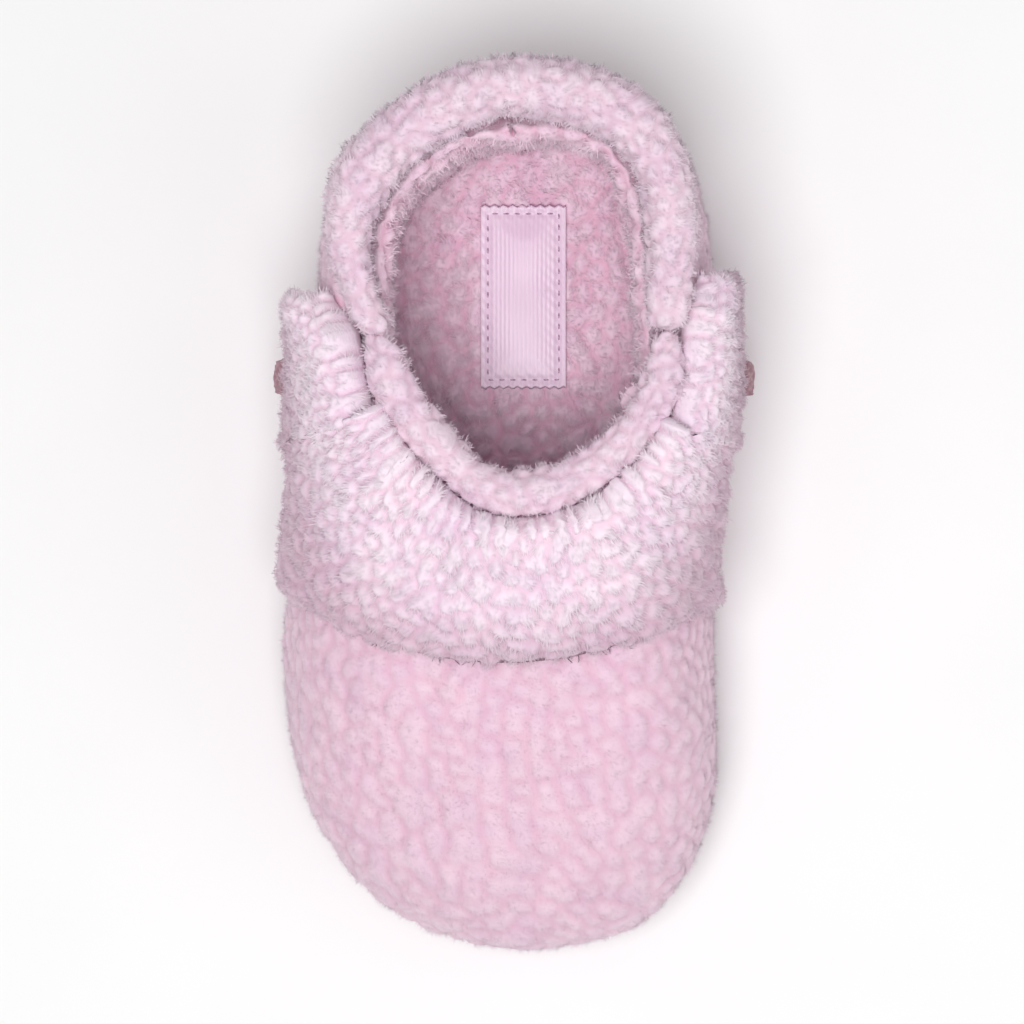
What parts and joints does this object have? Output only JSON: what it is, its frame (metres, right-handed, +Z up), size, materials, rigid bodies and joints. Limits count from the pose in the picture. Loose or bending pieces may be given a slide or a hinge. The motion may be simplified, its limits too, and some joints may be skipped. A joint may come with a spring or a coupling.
{
  "type": "baby bootie",
  "caption": "Soft curly-fleece slip-on bootie for a baby, with a fold-over cuff whose ends peel off the heel so that the front opens.",
  "frame": {"origin": "centre of the bootie's box, on the ground under the sole", "axes": "+Z up, +Y towards the heel, -Y towards the toe, +X towards the inner ankle"},
  "size_m": [0.0684, 0.1222, 0.0589],
  "materials": {
    "cuff_fleece": "long curly pile",
    "toe_fleece": "tight pebbled pile",
    "lining_fleece": "curly pile",
    "label_satin": "satin weave",
    "rose_webbing": "woven, dark rose",
    "hook_loop": "hook-and-loop tape",
    "sole_fabric": "brushed sole cloth",
    "grip": "soft silicone",
    "foam": "foam board",
    "thread": "polyester thread"
  },
  "bodies": {
    "bootie": {"outsole": "sole_fabric", "grip_pad_forefoot": "grip", "grip_pad_heel": "grip", "midsole_foam": "foam", "insole_sock": "lining_fleece", "sock_label": "label_satin", "label_stitching": "thread", "sole_seam_thread": "thread", "vamp_outer": "toe_fleece", "vamp_lining": "lining_fleece", "quarter_outer_lateral": "toe_fleece", "quarter_outer_medial": "toe_fleece", "quarter_lining_lateral": "lining_fleece", "quarter_lining_medial": "lining_fleece", "heel_collar_lateral": "cuff_fleece", "heel_collar_medial": "cuff_fleece", "loop_patch_lateral": "hook_loop", "loop_patch_medial": "hook_loop"},
    "front_flap": {"instep_panel": "toe_fleece", "instep_lining": "lining_fleece", "throat_lip": "cuff_fleece", "cuff_front": "cuff_fleece"},
    "lateral_tab": {"tab_lateral": "cuff_fleece", "hook_patch_lateral": "hook_loop", "pull_tab_lateral": "rose_webbing"},
    "medial_tab": {"tab_medial": "cuff_fleece", "hook_patch_medial": "hook_loop", "pull_tab_medial": "rose_webbing"}
  },
  "joints": [
    {"name": "front_flap_fold", "type": "hinge", "parent": "bootie", "child": "front_flap", "pos_m": [0, -0.0218, 0.0444], "axis": [1, 0, 0], "range_deg": [0, 55]},
    {"name": "lateral_tab_peel", "type": "hinge", "parent": "front_flap", "child": "lateral_tab", "pos_m": [-0.02965, 0.00999, 0.03945], "axis": [0.328, 0.0634, 0.9425], "range_deg": [0, 75]},
    {"name": "medial_tab_peel", "type": "hinge", "parent": "front_flap", "child": "medial_tab", "pos_m": [0.03159, 0.00942, 0.03819], "axis": [0.181, -0.0084, -0.9834], "range_deg": [0, 75]}
  ]
}
